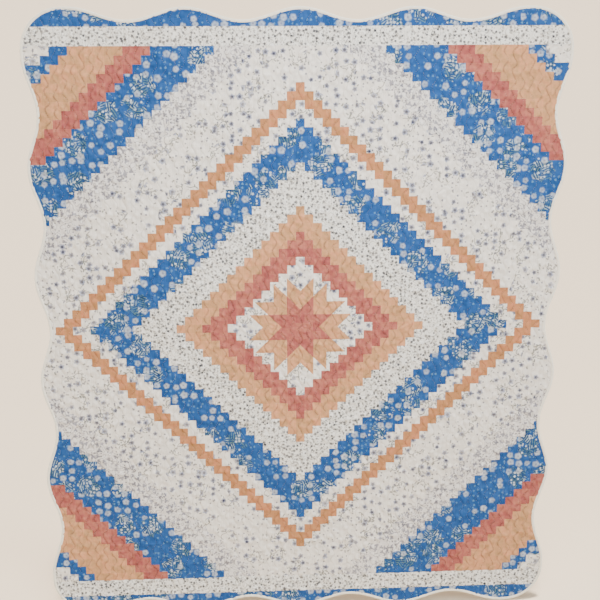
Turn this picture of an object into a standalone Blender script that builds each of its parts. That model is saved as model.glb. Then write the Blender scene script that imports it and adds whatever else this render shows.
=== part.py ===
"""A scallop-edged patchwork quilt, spread upright with its pieced face towards -Y.

The back of the quilt lies in the plane Y = 0, X runs across it and Z runs up it. The
origin is the middle of the back. Layers from the back: backing, batting, pieced top,
and a folded binding that wraps the edge of all three.
"""

import math

import bpy
from mathutils import Vector
from mathutils.geometry import delaunay_2d_cdt

# Driving dimensions of the patchwork, metres and whole numbers of patches.
PATCH = 0.03175            # finished side of one square patch
ROWS_EACH_WAY = 32         # rows of patches above and below the centre row
DIAMOND = 0.0699           # side of one diamond of the centre star
SIDE_MARGIN = 0.0667       # from the medallion's tips to the tips of the side lobes
STRIP_WIDTH = 0.0667       # plain strip above and below the patchwork
BORDER_DEPTH = 0.067       # scalloped border, from the strip to the tips of its lobes

# Driving dimensions of the scalloped edge.
LOBES_ACROSS = 5
LOBES_DOWN = 6
SCALLOP_DEPTH = 0.0444     # from the tips of the lobes to the hollows between them
LOBE_OVERRUN = 0.032       # how far the corner lobes would run past the edge, if not rounded
CORNER_RADIUS = 0.149
SEGMENTS_PER_LOBE = 8
CORNER_SEGMENTS = 6        # an even number, so that a point lies in the middle of a corner

# Driving dimensions of the layers.
PATCH_CLOTH = 0.0006
BATTING = 0.005
BACKING_CLOTH = 0.0006
BINDING_CLOTH = 0.0006     # the binding is folded double
BINDING_WIDTH = 0.0105     # how far the binding reaches in over the face and the back
GAP = 0.0003               # clearance between neighbouring pieces
CUTTER_SPARE = 0.01        # how far a cutting shape stands past what it cuts
SAME_POINT = 1e-7          # points of an outline nearer than this are one
ONLY_INSIDE = 1            # the triangulation's option that leaves out what lies outside

# Cloths: colour as displayed (0 to 255), and roughness.
CLOTHS = {
    "white_print": ((224, 220, 212), 0.92),
    "small_print": ((222, 220, 214), 0.92),
    "close_print": ((200, 198, 196), 0.92),
    "rose": ((196, 125, 115), 0.90),
    "peach": ((214, 170, 135), 0.90),
    "thin_peach": ((212, 158, 120), 0.90),
    "blue_print": ((66, 124, 178), 0.88),
    "binding": ((222, 219, 208), 0.90),
    "backing": ((226, 222, 212), 0.92),
    "batting": ((238, 236, 228), 0.97),
}

# The medallion: rings of patches, numbered by steps from the centre patch, from inside out.
STAR_FIELD_RING = 8
RINGS = (
    ("rose_ring", 11, "rose"),
    ("peach_ring", 14, "peach"),
    ("small_print_ring", 19, "small_print"),
    ("blue_ring", 24, "blue_print"),
    ("narrow_white_ring", 26, "white_print"),
    ("thin_peach_ring", 28, "thin_peach"),
)
GROUND_RING = 37

# The bands that cross each corner, from inside out. The last one runs to the corner.
CORNER_BANDS = (
    ("close_print_band", 41, "close_print"),
    ("blue_band", 48, "blue_print"),
    ("rose_band", 51, "rose"),
    ("peach_band", 57, "peach"),
    ("narrow_blue_band", 59, "blue_print"),
    ("white_corner", None, "white_print"),
)
CORNERS = {"top_left": (-1, 1), "top_right": (1, 1),
           "bottom_left": (-1, -1), "bottom_right": (1, -1)}

# Sizes worked out from the driving dimensions.
HALF_WIDTH = (RINGS[-1][1] + 0.5) * PATCH + SIDE_MARGIN
PATCHWORK_TOP = (ROWS_EACH_WAY + 0.5) * PATCH
STRIP_TOP = PATCHWORK_TOP + STRIP_WIDTH
HALF_HEIGHT = STRIP_TOP + BORDER_DEPTH
EDGE_INSET = BINDING_CLOTH + GAP
# The column of patches that the hollows of the side edges cut into.
EDGE_COLUMN = math.floor((HALF_WIDTH - SCALLOP_DEPTH - EDGE_INSET) / PATCH + 0.5)
BATTING_BACK = -(max(BACKING_CLOTH, BINDING_CLOTH) + GAP)
BATTING_FRONT = BATTING_BACK - BATTING
TOP_BACK = BATTING_FRONT - GAP
TOP_FRONT = TOP_BACK - PATCH_CLOTH
BINDING_INSIDE = TOP_FRONT - GAP
BINDING_FRONT = BINDING_INSIDE - BINDING_CLOTH


def clear_scene():
    for item in list(bpy.data.objects):
        bpy.data.objects.remove(item, do_unlink=True)


def linear(channel):
    """One displayed colour channel, 0 to 255, as linear light."""
    value = channel / 255
    return value / 12.92 if value <= 0.04045 else ((value + 0.055) / 1.055) ** 2.4


def make_cloth(name):
    colour, roughness = CLOTHS[name]
    cloth = bpy.data.materials.new(name)
    cloth.use_nodes = True
    shader = cloth.node_tree.nodes["Principled BSDF"]
    shader.inputs["Base Color"].default_value = (*(linear(c) for c in colour), 1.0)
    shader.inputs["Roughness"].default_value = roughness
    shader.inputs["Metallic"].default_value = 0.0
    return cloth


def add_object(name, vertices, faces, cloth):
    mesh = bpy.data.meshes.new(name)
    mesh.from_pydata(vertices, [], faces)
    mesh.materials.append(cloth)
    mesh.validate()
    item = bpy.data.objects.new(name, mesh)
    bpy.context.scene.collection.objects.link(item)
    return item


def inset(loop, distance):
    """A closed loop of (x, z) points moved towards its left side, with mitred corners."""
    moved = []
    for before, here, after in zip(loop[-1:] + loop[:-1], loop, loop[1:] + loop[:1]):
        arrive = (Vector(here) - Vector(before)).normalized()
        leave = (Vector(after) - Vector(here)).normalized()
        arrive_normal = Vector((-arrive.y, arrive.x))
        leave_normal = Vector((-leave.y, leave.x))
        mitre = (arrive_normal + leave_normal) / (1 + arrive_normal.dot(leave_normal))
        point = Vector(here) + mitre * distance
        moved.append((point.x, point.y))
    return moved


def triangles_inside(loops):
    """The area inside the first loop and outside the others, as triangles of point numbers."""
    points = [Vector(point) for loop in loops for point in loop]
    rings = []
    for loop in loops:
        start = sum(len(ring) for ring in rings)
        ring = list(range(start, start + len(loop)))
        rings.append(ring if signed_area(loop) > 0 else ring[::-1])
    _, _, faces, sources, _, owners = delaunay_2d_cdt(
        points, [], rings, ONLY_INSIDE, SAME_POINT)
    outside_holes = [face for face, owner in zip(faces, owners) if list(owner) == [0]]
    return [[sources[corner][0] for corner in face] for face in outside_holes]


def add_plate(name, loops, front, back, cloth):
    """A flat plate between two Y planes. Its first loop runs counter-clockwise, holes clockwise."""
    flat = [point for loop in loops for point in loop]
    count = len(flat)
    vertices = [(x, front, z) for x, z in flat] + [(x, back, z) for x, z in flat]
    faces = []
    for a, b, c in triangles_inside(loops):
        faces.append((a, b, c))
        faces.append((a + count, c + count, b + count))
    start = 0
    for loop in loops:
        for step in range(len(loop)):
            here = start + step
            after = start + (step + 1) % len(loop)
            faces.append((here, here + count, after + count, after))
        start += len(loop)
    return add_object(name, vertices, faces, cloth)


def trace(cells):
    """The outlines of a set of patches, in metres: material lies on the left of each loop."""
    leaves = {}
    for column, row in cells:
        sides = (
            ((column, row - 1), (column, row), (column + 1, row)),
            ((column + 1, row), (column + 1, row), (column + 1, row + 1)),
            ((column, row + 1), (column + 1, row + 1), (column, row + 1)),
            ((column - 1, row), (column, row + 1), (column, row)),
        )
        for neighbour, start, end in sides:
            if neighbour not in cells:
                leaves[start] = end
    loops = []
    while leaves:
        first = min(leaves)
        loop = [first]
        point = leaves.pop(first)
        while point != first:
            loop.append(point)
            point = leaves.pop(point)
        loops.append(loop)
    loops = [drop_straight_points(loop) for loop in loops]
    loops.sort(key=signed_area, reverse=True)
    return [[((x - 0.5) * PATCH, (z - 0.5) * PATCH) for x, z in loop] for loop in loops]


def drop_straight_points(loop):
    corners = []
    for before, here, after in zip(loop[-1:] + loop[:-1], loop, loop[1:] + loop[:1]):
        if (before[0] == here[0]) != (here[0] == after[0]):
            corners.append(here)
    return corners


def signed_area(loop):
    return sum(a[0] * b[1] - b[0] * a[1] for a, b in zip(loop, loop[1:] + loop[:1])) / 2


def ring_number(column, row):
    """Steps from the centre patch. Past the edge column, a row of patches runs on in one cloth."""
    return min(abs(column), EDGE_COLUMN) + abs(row)


def patches_between(inner, outer, sides=None):
    """The patches whose ring number is past inner and up to outer, in one corner or in all."""
    columns = math.ceil(HALF_WIDTH / PATCH) + 1
    found = set()
    for column in range(-columns, columns + 1):
        for row in range(-ROWS_EACH_WAY, ROWS_EACH_WAY + 1):
            if sides and (column * sides[0] <= 0 or row * sides[1] <= 0):
                continue
            ring = ring_number(column, row)
            if ring > inner and (outer is None or ring <= outer):
                found.add((column, row))
    return found


def hollow(position, tip, pitch):
    """How far a scalloped edge lies in from the tips of its lobes, at a place along it."""
    return SCALLOP_DEPTH / 2 * (1 - math.cos(2 * math.pi * (position - tip) / pitch))


def quarter_outline():
    """The edge of the quilt from the middle of its right side round to the middle of its top."""
    side_pitch = 2 * (HALF_HEIGHT + LOBE_OVERRUN) / LOBES_DOWN
    top_pitch = 2 * (HALF_WIDTH + LOBE_OVERRUN) / LOBES_ACROSS
    side_tip = side_pitch * (LOBES_DOWN - 1) / 2
    top_tip = top_pitch * (LOBES_ACROSS - 1) / 2
    side_steps = SEGMENTS_PER_LOBE * (LOBES_DOWN - 1) // 2
    top_steps = SEGMENTS_PER_LOBE * (LOBES_ACROSS - 1) // 2
    points = []
    for step in range(side_steps + 1):
        z = side_tip * step / side_steps
        points.append((HALF_WIDTH - hollow(z, side_tip, side_pitch), z))
    for step in range(CORNER_SEGMENTS + 1):
        turn = math.pi / 2 * step / CORNER_SEGMENTS
        points.append((HALF_WIDTH - CORNER_RADIUS * (1 - math.cos(turn)),
                       HALF_HEIGHT - CORNER_RADIUS * (1 - math.sin(turn))))
    for step in range(top_steps, -1, -1):
        x = top_tip * step / top_steps
        points.append((x, HALF_HEIGHT - hollow(x, top_tip, top_pitch)))
    return points, side_steps + 1 + CORNER_SEGMENTS // 2


def full_outline():
    """The whole edge, counter-clockwise, and the number of the middle point of each corner."""
    quarter, corner = quarter_outline()
    last = len(quarter) - 1
    loop = []
    middles = []
    for turn, (x_side, z_side) in enumerate(((1, 1), (-1, 1), (-1, -1), (1, -1))):
        ordered = quarter if turn % 2 == 0 else quarter[::-1]
        middles.append(len(loop) + (corner if turn % 2 == 0 else last - corner))
        loop.extend((x * x_side, z * z_side) for x, z in ordered[:-1])
    return loop, middles


def cut_to_edge(item, cutter):
    cut = item.modifiers.new("edge", "BOOLEAN")
    cut.operation = "INTERSECT"
    cut.solver = "EXACT"
    cut.object = cutter


def make_edge_cutter(outline, cloth):
    """A thick plate of the pieced top's own outline, which trims what runs to the edge."""
    trimmed = inset(outline, EDGE_INSET)
    cutter = add_plate("edge_cutter", [trimmed], TOP_FRONT - CUTTER_SPARE,
                       TOP_BACK + CUTTER_SPARE, cloth)
    cutter.hide_render = True
    cutter.display_type = "WIRE"
    return cutter


def add_piece_of_top(name, loops, cloth, cutter=None):
    """One piece of the top, drawn in by half a gap all round and trimmed at the edge."""
    item = add_plate(name, [inset(loop, GAP / 2) for loop in loops],
                     TOP_FRONT, TOP_BACK, cloth)
    if cutter:
        cut_to_edge(item, cutter)
    return item


def direction(eighths):
    """A unit step along one of the star's eight axes."""
    turn = math.pi / 4 * eighths
    return Vector((math.cos(turn), math.sin(turn)))


def diamond_corner(first, first_steps, second, second_steps):
    point = (direction(first) * first_steps + direction(second) * second_steps) * DIAMOND
    return (point.x, point.y)


def star_outline():
    """The outline of the whole star, counter-clockwise: two tips at each axis."""
    loop = []
    for axis in range(8):
        loop.append(diamond_corner(axis, 2, axis - 1, 1))
        loop.append(diamond_corner(axis, 2, axis, 0))
        loop.append(diamond_corner(axis, 2, axis + 1, 1))
        loop.append(diamond_corner(axis, 1, axis + 1, 1))
    return loop


def add_star(cloths):
    """Eight rose diamonds round the centre and a pair of peach ones past each axis."""
    for axis in range(8):
        core = [(0.0, 0.0), diamond_corner(axis, 1, axis, 0),
                diamond_corner(axis, 1, axis + 1, 1), diamond_corner(axis + 1, 1, axis, 0)]
        add_piece_of_top(f"star_diamond_{axis + 1}", [core], cloths["rose"])
        pair = [diamond_corner(axis, 1, axis, 0), diamond_corner(axis, 1, axis - 1, 1),
                diamond_corner(axis, 2, axis - 1, 1), diamond_corner(axis, 2, axis, 0),
                diamond_corner(axis, 2, axis + 1, 1), diamond_corner(axis, 1, axis + 1, 1)]
        add_piece_of_top(f"star_point_{axis + 1}", [pair], cloths["peach"])
    field = trace(patches_between(-1, STAR_FIELD_RING))
    add_piece_of_top("star_field", field + [star_outline()[::-1]], cloths["white_print"])


def add_medallion(cloths):
    inner = STAR_FIELD_RING
    for name, outer, cloth in RINGS:
        add_piece_of_top(name, trace(patches_between(inner, outer)), cloths[cloth])
        inner = outer


def add_ground_and_corners(cloths, cutter):
    ground = trace(patches_between(RINGS[-1][1], GROUND_RING))
    add_piece_of_top("ground", ground, cloths["white_print"], cutter)
    for corner, sides in CORNERS.items():
        inner = GROUND_RING
        for name, outer, cloth in CORNER_BANDS:
            band = trace(patches_between(inner, outer, sides))
            add_piece_of_top(f"{name}_{corner}", band, cloths[cloth], cutter)
            inner = outer


def add_strips_and_borders(cloths, cutter):
    """The plain strip and the scalloped border above and below the patchwork."""
    reach = HALF_WIDTH + CUTTER_SPARE
    for place, side in (("top", 1), ("bottom", -1)):
        bands = (("plain_strip", PATCHWORK_TOP, STRIP_TOP, "small_print"),
                 ("scallop_border", STRIP_TOP, HALF_HEIGHT + CUTTER_SPARE, "blue_print"))
        for name, near, far, cloth in bands:
            low, high = sorted((near * side, far * side))
            corners = [(-reach, low), (reach, low), (reach, high), (-reach, high)]
            add_piece_of_top(f"{name}_{place}", [corners], cloths[cloth], cutter)


def add_binding(outline, middles, cloth):
    """Four lengths of folded binding, each a channel swept along one side of the quilt."""
    at_edge = outline
    under_fold = inset(outline, BINDING_CLOTH)
    at_reach = inset(outline, BINDING_WIDTH)
    section = ((at_edge, BINDING_FRONT), (at_edge, 0.0),
               (at_reach, 0.0), (at_reach, -BINDING_CLOTH),
               (under_fold, -BINDING_CLOTH), (under_fold, BINDING_INSIDE),
               (at_reach, BINDING_INSIDE), (at_reach, BINDING_FRONT))
    end_quads = ((1, 2, 3, 4), (0, 1, 4, 5), (0, 5, 6, 7))
    total = len(outline)
    for place, start, end in zip(("top", "left", "bottom", "right"), middles,
                                 middles[1:] + [middles[0] + total]):
        stations = [number % total for number in range(start, end + 1)]
        rows = [[(*line[station], y) for line, y in section] for station in stations]
        rows[0] = [towards(a, b) for a, b in zip(rows[0], rows[1])]
        rows[-1] = [towards(a, b) for a, b in zip(rows[-1], rows[-2])]
        vertices = [(x, y, z) for row in rows for x, z, y in row]
        size = len(section)
        faces = []
        for row in range(len(rows) - 1):
            for corner in range(size):
                after = (corner + 1) % size
                faces.append((row * size + corner, row * size + after,
                              (row + 1) * size + after, (row + 1) * size + corner))
        last = (len(rows) - 1) * size
        faces.extend(tuple(reversed(quad)) for quad in end_quads)
        faces.extend(tuple(last + corner for corner in quad) for quad in end_quads)
        add_object(f"binding_{place}", vertices, faces, cloth)


def towards(here, there):
    """A section corner moved half a gap along its run, so that the lengths stay clear."""
    step = (Vector(there) - Vector(here)).normalized() * (GAP / 2)
    return tuple(Vector(here) + step)


def main():
    clear_scene()
    cloths = {name: make_cloth(name) for name in CLOTHS}
    outline, middles = full_outline()
    cutter = make_edge_cutter(outline, cloths["batting"])
    backing = inset(outline, BINDING_WIDTH + GAP)
    add_plate("backing", [backing], -BACKING_CLOTH, 0.0, cloths["backing"])
    batting = inset(outline, EDGE_INSET)
    add_plate("batting", [batting], BATTING_FRONT, BATTING_BACK, cloths["batting"])
    add_star(cloths)
    add_medallion(cloths)
    add_ground_and_corners(cloths, cutter)
    add_strips_and_borders(cloths, cutter)
    add_binding(outline, middles, cloths["binding"])


main()
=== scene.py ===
"""A scallop-edged patchwork quilt, spread upright and dressed as sewn layers of cloth.

The pieced top faces -Y and the backing faces +Y. Each layer follows the same gentle waves,
and the top swells between its lines of quilting as a cloth simulation of one tile says.
"""

import logging
import math
from dataclasses import dataclass, field
from enum import Enum
from typing import Callable, Iterable, Sequence, Union

import bpy
import numpy as np
from mathutils import Matrix, Vector
from mathutils.geometry import delaunay_2d_cdt


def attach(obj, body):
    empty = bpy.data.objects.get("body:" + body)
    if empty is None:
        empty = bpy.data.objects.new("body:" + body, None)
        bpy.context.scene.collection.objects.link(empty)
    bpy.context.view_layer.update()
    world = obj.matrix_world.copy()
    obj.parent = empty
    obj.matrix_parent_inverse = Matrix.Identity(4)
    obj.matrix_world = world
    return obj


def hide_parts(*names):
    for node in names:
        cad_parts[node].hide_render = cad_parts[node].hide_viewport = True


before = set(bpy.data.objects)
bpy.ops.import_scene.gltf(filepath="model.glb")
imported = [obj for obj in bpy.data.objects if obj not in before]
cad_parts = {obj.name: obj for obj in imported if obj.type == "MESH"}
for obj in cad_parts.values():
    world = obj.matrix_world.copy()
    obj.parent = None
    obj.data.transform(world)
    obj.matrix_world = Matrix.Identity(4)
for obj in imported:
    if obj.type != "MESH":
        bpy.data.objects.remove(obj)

LOG = logging.getLogger("quilt")
BODY = "root"
MM = 0.001
RIM_ANGLE = math.radians(60)        # past which a sheet's edge reads as sharp
FOLD_ANGLE = math.radians(75)       # and an edge of the folded binding

Loop = list[tuple[float, float]]
Surface = Callable[[np.ndarray, np.ndarray], np.ndarray]
Number = Union[float, "Value"]


# ---------------------------------------------------------------- shader and geometry graphs


def linear(colour: Sequence[float]) -> tuple[float, float, float, float]:
    """Linear light, with alpha, for a displayed colour whose channels run from 0 to 255."""
    channels = [c / 255 for c in colour]
    light = [c / 12.92 if c <= 0.04045 else ((c + 0.055) / 1.055) ** 2.4 for c in channels]
    return (light[0], light[1], light[2], 1.0)


class Value:
    """A number that varies over a surface: one socket, whose arithmetic adds Math nodes."""

    def __init__(self, graph: "Graph", socket: bpy.types.NodeSocket) -> None:
        """Wraps a socket of a graph."""
        self.graph = graph
        self.socket = socket

    def __add__(self, other: Number) -> "Value":
        """The sum."""
        return self.graph.math("ADD", self, other)

    __radd__ = __add__

    def __sub__(self, other: Number) -> "Value":
        """The difference."""
        return self.graph.math("SUBTRACT", self, other)

    def __rsub__(self, other: Number) -> "Value":
        """The difference, from a plain number."""
        return self.graph.math("SUBTRACT", other, self)

    def __mul__(self, other: Number) -> "Value":
        """The product."""
        return self.graph.math("MULTIPLY", self, other)

    __rmul__ = __mul__

    def __truediv__(self, other: Number) -> "Value":
        """The quotient."""
        return self.graph.math("DIVIDE", self, other)

    def __abs__(self) -> "Value":
        """The size, without its sign."""
        return self.graph.math("ABSOLUTE", self)

    def __lt__(self, other: Number) -> "Value":
        """1 where this is less, and 0 elsewhere."""
        return self.graph.math("LESS_THAN", self, other)

    def __gt__(self, other: Number) -> "Value":
        """1 where this is more, and 0 elsewhere."""
        return self.graph.math("GREATER_THAN", self, other)

    def sine(self) -> "Value":
        """The sine of this angle in radians."""
        return self.graph.math("SINE", self)

    def cosine(self) -> "Value":
        """The cosine of this angle in radians."""
        return self.graph.math("COSINE", self)

    def rounded(self) -> "Value":
        """The nearest whole number."""
        return self.graph.math("ROUND", self)

    def fold(self, period: float) -> "Value":
        """How far this lies from the nearest whole number of periods."""
        return self.graph.math("PINGPONG", self, period / 2)

    def below(self, limit: Number, softness: float) -> "Value":
        """1 where this is under a limit, falling to 0 above it.

        Args:
            limit: where the mask is a half.
            softness: the width over which the mask falls.

        Returns:
            The mask, from 0 to 1.
        """
        slope = (limit - self) * (1 / softness) + 0.5
        slope.socket.node.use_clamp = True
        return slope


@dataclass(frozen=True)
class Spot:
    """The place that is being coloured: across and up the quilt, apart and as one vector."""

    across: Value
    up: Value
    flat: bpy.types.NodeSocket


@dataclass(frozen=True)
class Motifs:
    """A kind of small motif that is scattered over a print. Lengths are in metres."""

    spacing: float                  # pitch of the loose grid that they lie on
    radius: float
    share: float                    # of the grid's places that hold one
    petals: int = 5
    spread: float = 0.9             # from 0, on the grid, to 1, anywhere in its squares
    shift: tuple[float, float] = (0.0, 0.0)
    soft: float = 0.0012            # width of their edges
    notch: float = 0.14             # depth of the notches between petals, as a share


@dataclass
class Scatter:
    """Polar coordinates round the nearest motif, and that motif's three chances."""

    radius: Value
    angle: Value
    chance: Value
    spin: Value
    shade: Value


class Graph:
    """A node tree under construction."""

    def __init__(self, tree: bpy.types.NodeTree) -> None:
        """Starts from an empty tree."""
        self.tree = tree
        tree.nodes.clear()

    def node(self, kind: str, settings: dict | None = None,
             inputs: dict | None = None) -> bpy.types.Node:
        """Adds one node.

        Args:
            kind: the node's type.
            settings: its properties, set before its sockets.
            inputs: numbers, vectors, sockets or Values, by socket name or number.

        Returns:
            The node.
        """
        node = self.tree.nodes.new(kind)
        for name, setting in (settings or {}).items():
            setattr(node, name, setting)
        for name, given in (inputs or {}).items():
            self.feed(node.inputs[name], given)
        return node

    def feed(self, socket: bpy.types.NodeSocket, given: object) -> None:
        """Links a socket, or sets its value."""
        if isinstance(given, Value):
            self.tree.links.new(given.socket, socket)
        elif isinstance(given, bpy.types.NodeSocket):
            self.tree.links.new(given, socket)
        else:
            socket.default_value = given

    def math(self, operation: str, *given: Number) -> Value:
        """One Math node on numbers or Values."""
        node = self.node("ShaderNodeMath", {"operation": operation}, dict(enumerate(given)))
        return Value(self, node.outputs[0])

    def vector(self, operation: str, *given: object) -> bpy.types.Node:
        """One Vector Math node."""
        return self.node("ShaderNodeVectorMath", {"operation": operation},
                         dict(enumerate(given)))

    def plain(self, colour: Sequence[float]) -> bpy.types.NodeSocket:
        """A plain colour, given by channels from 0 to 255."""
        socket = self.node("ShaderNodeRGB").outputs[0]
        socket.default_value = linear(colour)
        return socket

    def mix(self, factor: Number, first: bpy.types.NodeSocket,
            second: bpy.types.NodeSocket | Sequence[float]) -> bpy.types.NodeSocket:
        """The first colour where the factor is 0 and the second where it is 1."""
        if not isinstance(second, bpy.types.NodeSocket):
            second = linear(second)
        return self.node("ShaderNodeMix", {"data_type": "RGBA"},
                         {"Factor": factor, 6: first, 7: second}).outputs[2]

    def tinted(self, colour: object, amount: Number) -> bpy.types.NodeSocket:
        """A colour made lighter or darker by a factor that may vary."""
        return self.node("ShaderNodeVectorMath", {"operation": "SCALE"},
                         {0: colour, "Scale": amount}).outputs[0]

    def bumped(self, height: Value) -> bpy.types.NodeSocket:
        """The surface normal over a relief whose height is in metres."""
        return self.node("ShaderNodeBump", None,
                         {"Strength": 1.0, "Distance": 1.0, "Height": height}).outputs[0]

    def on_plane(self) -> Spot:
        """A point's place on the quilt's plane, in metres."""
        place = self.node("ShaderNodeTexCoord").outputs["Object"]
        apart = self.node("ShaderNodeSeparateXYZ", None, {0: place})
        across, up = Value(self, apart.outputs["X"]), Value(self, apart.outputs["Z"])
        flat = self.node("ShaderNodeCombineXYZ", None, {"X": across, "Y": up})
        return Spot(across, up, flat.outputs[0])

    def noise(self, at: Spot, size: float, detail: float = 2.0) -> Value:
        """Smooth noise from 0 to 1 whose features are of a size in metres."""
        node = self.node("ShaderNodeTexNoise", {"noise_dimensions": "2D"},
                         {"Vector": at.flat, "Scale": 1 / size, "Detail": detail})
        return Value(self, node.outputs[0])

    def scatter(self, at: Spot, motifs: Motifs) -> Scatter:
        """Motifs on a loose grid, seen from the nearest one.

        Args:
            at: the point's place.
            motifs: how they are scattered.

        Returns:
            Polar coordinates round the nearest motif and its three chances.
        """
        moved = self.vector("ADD", at.flat, (*motifs.shift, 0.0)).outputs[0]
        cells = self.node("ShaderNodeTexVoronoi",
                          {"voronoi_dimensions": "2D", "feature": "F1"},
                          {"Vector": moved, "Scale": 1 / motifs.spacing,
                           "Randomness": motifs.spread})
        local = self.vector("SUBTRACT", moved, cells.outputs["Position"])
        apart = self.node("ShaderNodeSeparateXYZ", None, {0: local.outputs[0]})
        angle = self.math("ARCTAN2", Value(self, apart.outputs["Y"]),
                          Value(self, apart.outputs["X"]))
        radius = Value(self, self.vector("LENGTH", local.outputs[0]).outputs["Value"])
        chances = self.node("ShaderNodeSeparateColor", None, {0: cells.outputs["Color"]})
        three = [Value(self, socket) for socket in chances.outputs]
        return Scatter(radius, angle, *three)

    def flowers(self, at: Spot, motifs: Motifs,
                share: Number | None = None) -> tuple[Value, Scatter]:
        """Scattered flowers with rounded petals, which differ in size and turn.

        Args:
            at: the point's place.
            motifs: how they are scattered, and their shape.
            share: the share of places that hold one, where it varies.

        Returns:
            Their mask, from 0 to 1, and the scatter that it is made from.
        """
        nearest = self.scatter(at, motifs)
        wave = (nearest.angle * motifs.petals + nearest.spin * 6.0).cosine()
        edge = (wave * motifs.notch + (1 - motifs.notch)) * motifs.radius
        edge = edge * (nearest.shade * 0.35 + 0.75)
        here = nearest.chance < (motifs.share if share is None else share)
        return nearest.radius.below(edge, motifs.soft) * here, nearest

    def strewn(self, at: Spot, motifs: Motifs, colour: bpy.types.NodeSocket,
               ink: Sequence[float], strength: float = 1.0,
               share: Number | None = None) -> bpy.types.NodeSocket:
        """A colour with motifs of one ink strewn over it."""
        return self.mix(self.flowers(at, motifs, share)[0] * strength, colour, ink)


# ---------------------------------------------------------------- finishes


@dataclass(frozen=True)
class Quilted:
    """The lines of quilting as a pattern: wavy lines that run up the quilt."""

    pitch: float = 0.03175      # between neighbouring lines
    swing: float = 0.0080       # how far a line swings to each side
    wave: float = 0.0635        # length of one wave of a line
    lag: float = 1.0            # how far neighbours' waves are out of step, in radians
    lag_run: float = 0.127      # across which that repeats

    def straightened(self, across: np.ndarray, up: np.ndarray) -> np.ndarray:
        """Where a point lies across the quilt once the lines are pulled straight."""
        lag = self.lag * np.sin(2 * np.pi * across / self.lag_run)
        return across - self.swing * np.sin(2 * np.pi * up / self.wave + lag)

    def swung(self, straight: np.ndarray, up: np.ndarray) -> np.ndarray:
        """The inverse of straightened: where a point of the straight pattern really lies."""
        across = straight.copy()
        for _ in range(30):
            across = straight + across - self.straightened(across, up)
        return across

    def distance(self, at: Spot) -> Value:
        """How far a point lies from its nearest line, about, as nodes."""
        lag = (at.across * (2 * math.pi / self.lag_run)).sine() * self.lag
        swing = (at.up * (2 * math.pi / self.wave) + lag).sine() * self.swing
        return (at.across - swing).fold(self.pitch)


@dataclass(frozen=True)
class Cotton:
    """Plain woven cotton, sewn in square patches and quilted."""

    name: str
    slot: str
    colour: tuple[float, float, float]
    warm: tuple[float, float, float] = (0, 0, 0)    # the colour that some patches lean to
    mottle: float = 0.0                             # how far they lean, from 0 to 1
    patch: float = 0.03175                          # 0 where the cloth isn't in patches
    uneven: float = 0.22                            # how much its lightness drifts
    drift_size: float = 0.017                       # over which it drifts
    groove_shade: float = 0.08                            # how much painted shade darkens its grooves
    roughness: float = 0.9
    sheen: float = 0.04
    weave: float = 0.0009                           # thread pitch as it reads
    depth: float = 0.02 * MM                        # of the weave
    pucker: float = 0.45 * MM                       # height of the small puckers
    groove: float = 0.9 * MM                        # depth of the lines of quilting
    seam: float = 0.30 * MM                         # depth of the seams between patches

    def printed(self, graph: Graph, colour: bpy.types.NodeSocket,
                at: Spot) -> bpy.types.NodeSocket:
        """The cloth's colour: plain here, and overridden by the prints."""
        return colour

    def leaning(self, graph: Graph, colour: bpy.types.NodeSocket,
                at: Spot) -> bpy.types.NodeSocket:
        """The colour: slow drift, differences from patch to patch, painted shade in grooves."""
        drift = graph.noise(at, self.drift_size, 3.0) * 1.2 - 0.35
        if self.patch:
            square = graph.node("ShaderNodeCombineXYZ", None, {
                "X": (at.across / self.patch).rounded(),
                "Y": (at.up / self.patch).rounded()})
            chance = graph.node("ShaderNodeTexWhiteNoise", {"noise_dimensions": "2D"},
                                {"Vector": square.outputs[0]})
            drift = drift + Value(graph, chance.outputs["Value"]) * 0.5
        else:
            drift = drift + 0.25
        if self.mottle:
            colour = graph.mix(drift * self.mottle, colour, self.warm)
        light = drift * self.uneven + (1 - self.uneven / 2)
        # painted shade: the colour is darkened along the lines of quilting, broken up by noise
        if self.groove_shade:
            line = Quilted().distance(at).below(2.4 * MM, 5.0 * MM)
            broken = graph.noise(at, 0.024).below(0.52, 0.20) * 0.75 + 0.25
            light = light * (1.0 - line * broken * self.groove_shade)
        return graph.tinted(colour, light)

    def height(self, graph: Graph, at: Spot) -> Value:
        """The fine relief: threads, puckers, the quilting's grooves and the seams."""
        over = (at.across * (2 * math.pi / self.weave)).sine()
        under = (at.up * (2 * math.pi / self.weave)).sine()
        height = over * under * self.depth + graph.noise(at, 0.007, 3.0) * self.pucker
        height = height - Quilted().distance(at).below(1.1 * MM, 3.0 * MM) * self.groove
        if self.patch:
            half = self.patch / 2
            seam = graph.math("MINIMUM", (at.across + half).fold(self.patch),
                              (at.up + half).fold(self.patch))
            height = height - seam.below(0.6 * MM, 1.6 * MM) * self.seam
        return height

    def material(self) -> bpy.types.Material:
        """The finish as a new material."""
        made = bpy.data.materials.new(self.name)
        made.use_nodes = True
        graph = Graph(made.node_tree)
        at = graph.on_plane()
        colour = self.printed(graph, graph.plain(self.colour), at)
        shader = graph.node("ShaderNodeBsdfPrincipled", None, {
            "Base Color": self.leaning(graph, colour, at), "Roughness": self.roughness,
            "Sheen Weight": self.sheen, "Sheen Roughness": 0.5, "Specular IOR Level": 0.12,
            "Normal": graph.bumped(self.height(graph, at))})
        graph.node("ShaderNodeOutputMaterial", None, {"Surface": shader.outputs[0]})
        made.diffuse_color = linear(self.colour)
        return made


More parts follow.
